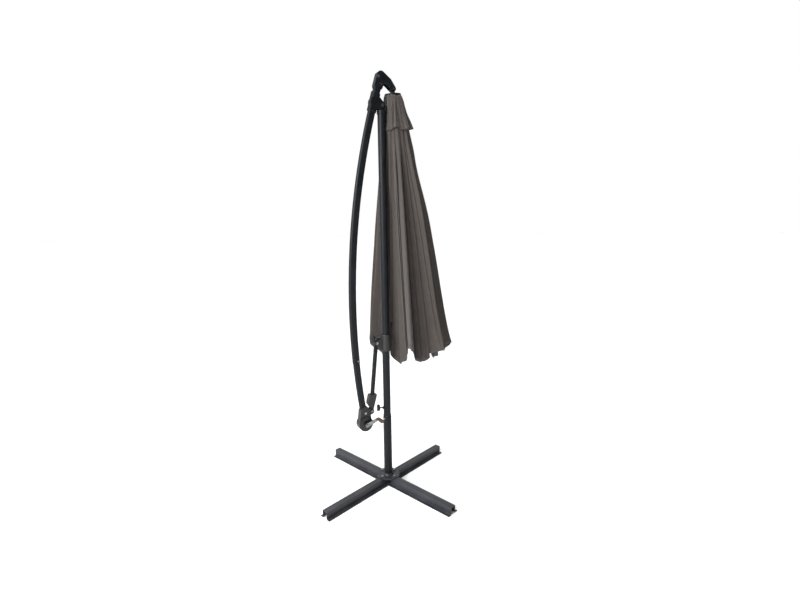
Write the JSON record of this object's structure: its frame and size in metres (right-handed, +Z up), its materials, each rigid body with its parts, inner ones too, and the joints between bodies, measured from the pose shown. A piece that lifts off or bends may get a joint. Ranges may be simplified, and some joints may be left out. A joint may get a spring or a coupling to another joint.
{
  "type": "cantilever parasol",
  "caption": "Folded cantilever parasol: cross base, swivelling mast, arched sliding boom with strut and crank, and a tapering fabric canopy with a vent tier on hinged ribs.",
  "frame": {"origin": "centre of the base cross on the ground", "axes": "+Z up along the mast; +X from the mast towards the side on which the canopy hangs, in the plane of the boom; the crank is on the -Y side"},
  "size_m": [0.9748, 0.9748, 2.412],
  "materials": {
    "frame_paint": "satin anthracite powder coat",
    "base_steel": "satin anthracite powder coat on rolled steel",
    "bright_steel": "zinc-plated",
    "black_plastic": "fine-grained moulded nylon",
    "grip_plastic": "moulded grip",
    "rib_steel": "satin powder coat",
    "canopy_fabric": "taupe woven polyester",
    "cord": "braided polyester"
  },
  "bodies": {
    "root": {"base_bar_lower": "base_steel", "base_bar_upper": "base_steel", "base_flange": "base_steel", "flange_bolts": "bright_steel", "mast_lower_tube": "frame_paint", "mast_joint_screw": "bright_steel", "mast_joint_collar": "black_plastic"},
    "mast": {"mast_upper_tube": "frame_paint", "mast_head_bracket": "frame_paint"},
    "mast_knob": {"mast_knob": "black_plastic"},
    "boom_yoke": {"boom_yoke": "frame_paint", "yoke_liner": "black_plastic", "head_bolt": "bright_steel"},
    "boom": {"boom_upper_tube": "frame_paint", "boom_lower_tube": "frame_paint", "boom_joint_screws": "bright_steel", "boom_elbow": "frame_paint", "boom_bolts": "bright_steel", "hanging_pin": "bright_steel", "crank_housing": "black_plastic", "strut_pin": "bright_steel", "housing_cover": "black_plastic"},
    "strut": {"strut_tube": "frame_paint", "strut_top_eye": "frame_paint", "strut_handle": "black_plastic"},
    "crank": {"cord_spool": "black_plastic", "crank_arm": "bright_steel"},
    "crank_grip": {"crank_grip": "grip_plastic"},
    "slider": {"slider_sleeve": "black_plastic", "slider_pin": "bright_steel"},
    "slider_knob": {"slider_knob": "black_plastic"},
    "hub": {"hub": "black_plastic", "hub_cap": "black_plastic", "hoist_cord": "cord", "vent_canopy": "canopy_fabric"},
    "runner": {"runner": "black_plastic"},
    "rib_1": {"rib_1": "rib_steel"},
    "stretcher_1": {"stretcher_1": "rib_steel"},
    "gore_1": {"canopy_panel_1": "canopy_fabric"},
    "rib_2": {"rib_2": "rib_steel"},
    "stretcher_2": {"stretcher_2": "rib_steel"},
    "gore_2": {"canopy_panel_2": "canopy_fabric"},
    "rib_3": {"rib_3": "rib_steel"},
    "stretcher_3": {"stretcher_3": "rib_steel"},
    "gore_3": {"canopy_panel_3": "canopy_fabric"},
    "rib_4": {"rib_4": "rib_steel"},
    "stretcher_4": {"stretcher_4": "rib_steel"},
    "gore_4": {"canopy_panel_4": "canopy_fabric"},
    "rib_5": {"rib_5": "rib_steel"},
    "stretcher_5": {"stretcher_5": "rib_steel"},
    "gore_5": {"canopy_panel_5": "canopy_fabric"},
    "rib_6": {"rib_6": "rib_steel"},
    "stretcher_6": {"stretcher_6": "rib_steel"},
    "gore_6": {"canopy_panel_6": "canopy_fabric"},
    "rib_7": {"rib_7": "rib_steel"},
    "stretcher_7": {"stretcher_7": "rib_steel"},
    "gore_7": {"canopy_panel_7": "canopy_fabric"},
    "rib_8": {"rib_8": "rib_steel"},
    "stretcher_8": {"stretcher_8": "rib_steel"},
    "gore_8": {"canopy_panel_8": "canopy_fabric"}
  },
  "joints": [
    {"name": "mast_swivel", "type": "hinge", "parent": "root", "child": "mast", "pos_m": [0, 0, 0.4414], "axis": [0, 0, 1], "continuous": true},
    {"name": "mast_knob_turn", "type": "hinge", "parent": "mast", "child": "mast_knob", "pos_m": [-0.03742, 0.01907, 0.486], "axis": [-0.891, 0.454, 0], "range_deg": [0, 540]},
    {"name": "slider_knob_turn", "type": "hinge", "parent": "slider", "child": "slider_knob", "pos_m": [-0.05881, 0.02996, 0.926], "axis": [-0.891, 0.454, 0], "range_deg": [0, 540]},
    {"name": "crank_turn", "type": "hinge", "parent": "boom", "child": "crank", "pos_m": [-0.152, 0, 0.422], "axis": [0, 1, 0], "range_deg": [0, 1387.86]},
    {"name": "grip_spin", "type": "hinge", "parent": "crank", "child": "crank_grip", "pos_m": [-0.08058, -0.064, 0.44799], "axis": [0, 1, 0], "continuous": true},
    {"name": "boom_slide", "type": "hinge", "parent": "boom_yoke", "child": "boom", "pos_m": [3.835, 0, 1.118], "axis": [0, 1, 0], "range_deg": [0, 19.6]},
    {"name": "yoke_tilt", "type": "hinge", "parent": "mast", "child": "boom_yoke", "pos_m": [0, 0, 2.235], "axis": [0, 1, 0], "range_deg": [0, 47.5]},
    {"name": "slider_slide", "type": "slide", "parent": "mast", "child": "slider", "axis": [0, 0, 1], "range_m": [0, 0.83304]},
    {"name": "strut_swing", "type": "hinge", "parent": "boom", "child": "strut", "pos_m": [-0.108, 0, 0.489], "axis": [0, 1, 0], "range_deg": [0, 64.29]},
    {"name": "hub_hang", "type": "hinge", "parent": "boom", "child": "hub", "pos_m": [0.072, 0, 2.33], "axis": [0.1403, -0.9438, -0.2993], "range_deg": [0, 64.04]},
    {"name": "runner_slide", "type": "slide", "parent": "hub", "child": "runner", "axis": [-0.0924, -0.0684, 0.9934], "range_m": [0, 0.72668], "deforming": ["hoist_cord"]},
    {"name": "rib_1_swing", "type": "hinge", "parent": "hub", "child": "rib_1", "pos_m": [0.10497, 0.0296, 2.29484], "axis": [0.675, -0.7377, 0.012], "range_deg": [0, 67.5], "deforming": ["vent_canopy"]},
    {"name": "stretcher_1_swing", "type": "hinge", "parent": "rib_1", "child": "stretcher_1", "pos_m": [0.18872, 0.09728, 1.74529], "axis": [0.675, -0.7377, 0.012], "range_deg": [-127.07, 0]},
    {"name": "rib_2_swing", "type": "hinge", "parent": "hub", "child": "rib_2", "pos_m": [0.07731, 0.0426, 2.29316], "axis": [0.9949, -0.0467, 0.0893], "range_deg": [0, 67.5]},
    {"name": "stretcher_2_swing", "type": "hinge", "parent": "rib_2", "child": "stretcher_2", "pos_m": [0.13066, 0.12455, 1.74176], "axis": [0.9949, -0.0467, 0.0893], "range_deg": [-127.07, 0]},
    {"name": "rib_3_swing", "type": "hinge", "parent": "hub", "child": "rib_3", "pos_m": [0.04869, 0.03224, 2.28978], "axis": [0.732, 0.6717, 0.1143], "range_deg": [0, 67.5]},
    {"name": "stretcher_3_swing", "type": "hinge", "parent": "rib_3", "child": "stretcher_3", "pos_m": [0.07062, 0.10282, 1.73468], "axis": [0.732, 0.6717, 0.1143], "range_deg": [-127.07, 0]},
    {"name": "rib_4_swing", "type": "hinge", "parent": "hub", "child": "rib_4", "pos_m": [0.0359, 0.0046, 2.28669], "axis": [0.0403, 0.9966, 0.0723], "range_deg": [0, 67.5]},
    {"name": "stretcher_4_swing", "type": "hinge", "parent": "rib_4", "child": "stretcher_4", "pos_m": [0.04377, 0.04482, 1.72819], "axis": [0.0403, 0.9966, 0.0723], "range_deg": [-127.07, 0]},
    {"name": "rib_5_swing", "type": "hinge", "parent": "hub", "child": "rib_5", "pos_m": [0.04642, -0.02413, 2.28569], "axis": [-0.675, 0.7377, -0.012], "range_deg": [0, 67.5]},
    {"name": "stretcher_5_swing", "type": "hinge", "parent": "rib_5", "child": "stretcher_5", "pos_m": [0.06584, -0.01548, 1.7261], "axis": [-0.675, 0.7377, -0.012], "range_deg": [-127.07, 0]},
    {"name": "rib_6_swing", "type": "hinge", "parent": "hub", "child": "rib_6", "pos_m": [0.07408, -0.03713, 2.28737], "axis": [-0.9949, 0.0467, -0.0893], "range_deg": [0, 67.5]},
    {"name": "stretcher_6_swing", "type": "hinge", "parent": "rib_6", "child": "stretcher_6", "pos_m": [0.1239, -0.04275, 1.72962], "axis": [-0.9949, 0.0467, -0.0893], "range_deg": [-127.07, 0]},
    {"name": "rib_7_swing", "type": "hinge", "parent": "hub", "child": "rib_7", "pos_m": [0.1027, -0.02677, 2.29075], "axis": [-0.732, -0.6717, -0.1143], "range_deg": [0, 67.5]},
    {"name": "stretcher_7_swing", "type": "hinge", "parent": "rib_7", "child": "stretcher_7", "pos_m": [0.18394, -0.02102, 1.7367], "axis": [-0.732, -0.6717, -0.1143], "range_deg": [-127.07, 0]},
    {"name": "rib_8_swing", "type": "hinge", "parent": "hub", "child": "rib_8", "pos_m": [0.11549, 0.00087, 2.29384], "axis": [-0.0403, -0.9966, -0.0723], "range_deg": [0, 67.5]},
    {"name": "stretcher_8_swing", "type": "hinge", "parent": "rib_8", "child": "stretcher_8", "pos_m": [0.21079, 0.03698, 1.74319], "axis": [-0.0403, -0.9966, -0.0723], "range_deg": [-127.07, 0]},
    {"name": "gore_1_fold", "type": "hinge", "parent": "rib_1", "child": "gore_1", "pos_m": [0.0789, 0.0122, 2.3107], "axis": [0.4042, 0.8042, -0.4359], "range_deg": [0, 49.1], "deforming": ["canopy_panel_1"]},
    {"name": "gore_2_fold", "type": "hinge", "parent": "rib_2", "child": "gore_2", "pos_m": [0.0698, 0.01262, 2.30988], "axis": [-0.2438, 0.8346, -0.494], "range_deg": [0, 49.1], "deforming": ["canopy_panel_2"]},
    {"name": "gore_3_fold", "type": "hinge", "parent": "rib_3", "child": "gore_3", "pos_m": [0.06311, 0.00648, 2.30883], "axis": [-0.7205, 0.3971, -0.5685], "range_deg": [0, 49.1], "deforming": ["canopy_panel_3"]},
    {"name": "gore_4_fold", "type": "hinge", "parent": "rib_4", "child": "gore_4", "pos_m": [0.06274, -0.00263, 2.30817], "axis": [-0.7467, -0.2519, -0.6156], "range_deg": [0, 49.1], "deforming": ["canopy_panel_4"]},
    {"name": "gore_5_fold", "type": "hinge", "parent": "rib_5", "child": "gore_5", "pos_m": [0.06891, -0.00937, 2.30828], "axis": [-0.3071, -0.7323, -0.6078], "range_deg": [0, 49.1], "deforming": ["canopy_panel_5"]},
    {"name": "gore_6_fold", "type": "hinge", "parent": "rib_6", "child": "gore_6", "pos_m": [0.07801, -0.0098, 2.3091], "axis": [0.3409, -0.7627, -0.5496], "range_deg": [0, 49.1], "deforming": ["canopy_panel_6"]},
    {"name": "gore_7_fold", "type": "hinge", "parent": "rib_7", "child": "gore_7", "pos_m": [0.0847, -0.00366, 2.31014], "axis": [0.8176, -0.3253, -0.4751], "range_deg": [0, 49.1], "deforming": ["canopy_panel_7"]},
    {"name": "gore_8_fold", "type": "hinge", "parent": "rib_8", "child": "gore_8", "pos_m": [0.08507, 0.00545, 2.31081], "axis": [0.8438, 0.3237, -0.428], "range_deg": [0, 49.1], "deforming": ["canopy_panel_8"]}
  ],
  "couplings": [
    {"joint": "crank_turn", "follows": "boom_slide", "ratio": 70.809},
    {"joint": "yoke_tilt", "follows": "boom_slide", "ratio": 2.4235},
    {"joint": "slider_slide", "follows": "boom_slide", "m_per_rad": 2.4352},
    {"joint": "strut_swing", "follows": "boom_slide", "ratio": 3.2803},
    {"joint": "hub_hang", "follows": "boom_slide", "ratio": 3.2675},
    {"joint": "runner_slide", "follows": "boom_slide", "m_per_rad": 2.1243},
    {"joint": "rib_1_swing", "follows": "boom_slide", "ratio": 3.4439},
    {"joint": "stretcher_1_swing", "follows": "boom_slide", "ratio": -6.4834},
    {"joint": "rib_2_swing", "follows": "boom_slide", "ratio": 3.4439},
    {"joint": "stretcher_2_swing", "follows": "boom_slide", "ratio": -6.4834},
    {"joint": "rib_3_swing", "follows": "boom_slide", "ratio": 3.4439},
    {"joint": "stretcher_3_swing", "follows": "boom_slide", "ratio": -6.4834},
    {"joint": "rib_4_swing", "follows": "boom_slide", "ratio": 3.4439},
    {"joint": "stretcher_4_swing", "follows": "boom_slide", "ratio": -6.4834},
    {"joint": "rib_5_swing", "follows": "boom_slide", "ratio": 3.4439},
    {"joint": "stretcher_5_swing", "follows": "boom_slide", "ratio": -6.4834},
    {"joint": "rib_6_swing", "follows": "boom_slide", "ratio": 3.4439},
    {"joint": "stretcher_6_swing", "follows": "boom_slide", "ratio": -6.4834},
    {"joint": "rib_7_swing", "follows": "boom_slide", "ratio": 3.4439},
    {"joint": "stretcher_7_swing", "follows": "boom_slide", "ratio": -6.4834},
    {"joint": "rib_8_swing", "follows": "boom_slide", "ratio": 3.4439},
    {"joint": "stretcher_8_swing", "follows": "boom_slide", "ratio": -6.4834},
    {"joint": "gore_1_fold", "follows": "boom_slide", "ratio": 2.5051},
    {"joint": "gore_2_fold", "follows": "boom_slide", "ratio": 2.5051},
    {"joint": "gore_3_fold", "follows": "boom_slide", "ratio": 2.5051},
    {"joint": "gore_4_fold", "follows": "boom_slide", "ratio": 2.5051},
    {"joint": "gore_5_fold", "follows": "boom_slide", "ratio": 2.5051},
    {"joint": "gore_6_fold", "follows": "boom_slide", "ratio": 2.5051},
    {"joint": "gore_7_fold", "follows": "boom_slide", "ratio": 2.5051},
    {"joint": "gore_8_fold", "follows": "boom_slide", "ratio": 2.5051}
  ]
}
